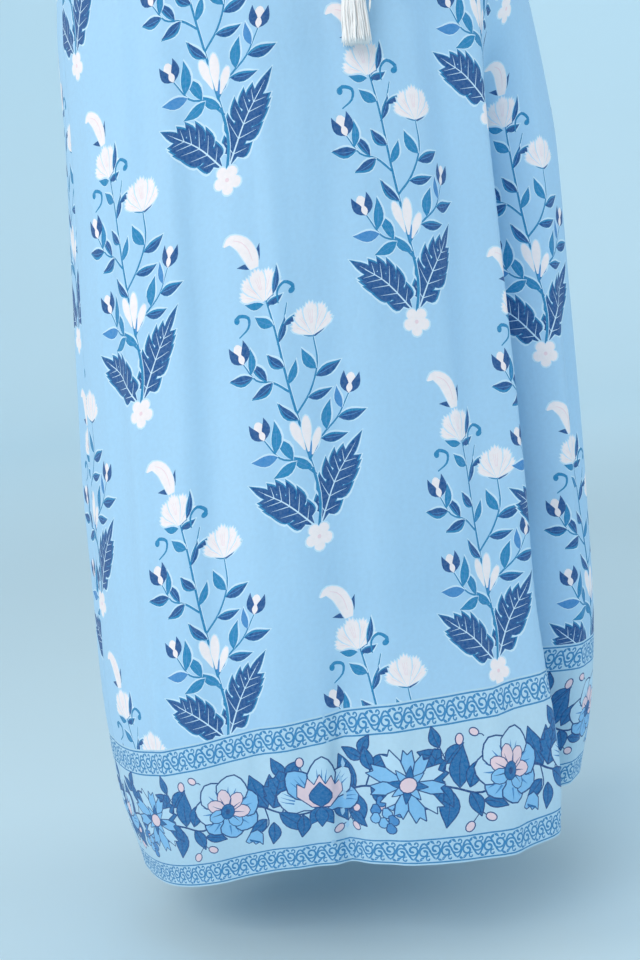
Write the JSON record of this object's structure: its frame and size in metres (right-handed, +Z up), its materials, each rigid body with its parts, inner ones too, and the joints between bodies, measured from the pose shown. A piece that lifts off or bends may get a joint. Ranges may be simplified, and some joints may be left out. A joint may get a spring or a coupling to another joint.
{
  "type": "midi dress",
  "caption": "Sleeveless midi dress with a round neck, drawstring waist and gathered skirt with a printed border, worn form in mid step",
  "frame": {"origin": "midway between the tops of the two shoulder seams, where the dress hangs on its wearer", "axes": "+Z up, the front faces -Y, +X to the wearer's left"},
  "size_m": [0.4641, 0.4366, 1.2961],
  "materials": {
    "cloth": "matte woven cotton",
    "cord": "matte twisted cotton",
    "tassel": "soft cotton thread"
  },
  "bodies": {
    "root": {"bodice_front": "cloth", "bodice_back": "cloth", "casing_front": "cloth", "casing_back": "cloth", "skirt_front": "cloth", "skirt_back": "cloth", "drawstring_right": "cord", "drawstring_left": "cord", "tassel_right": "tassel", "tassel_left": "tassel"}
  },
  "joints": []
}
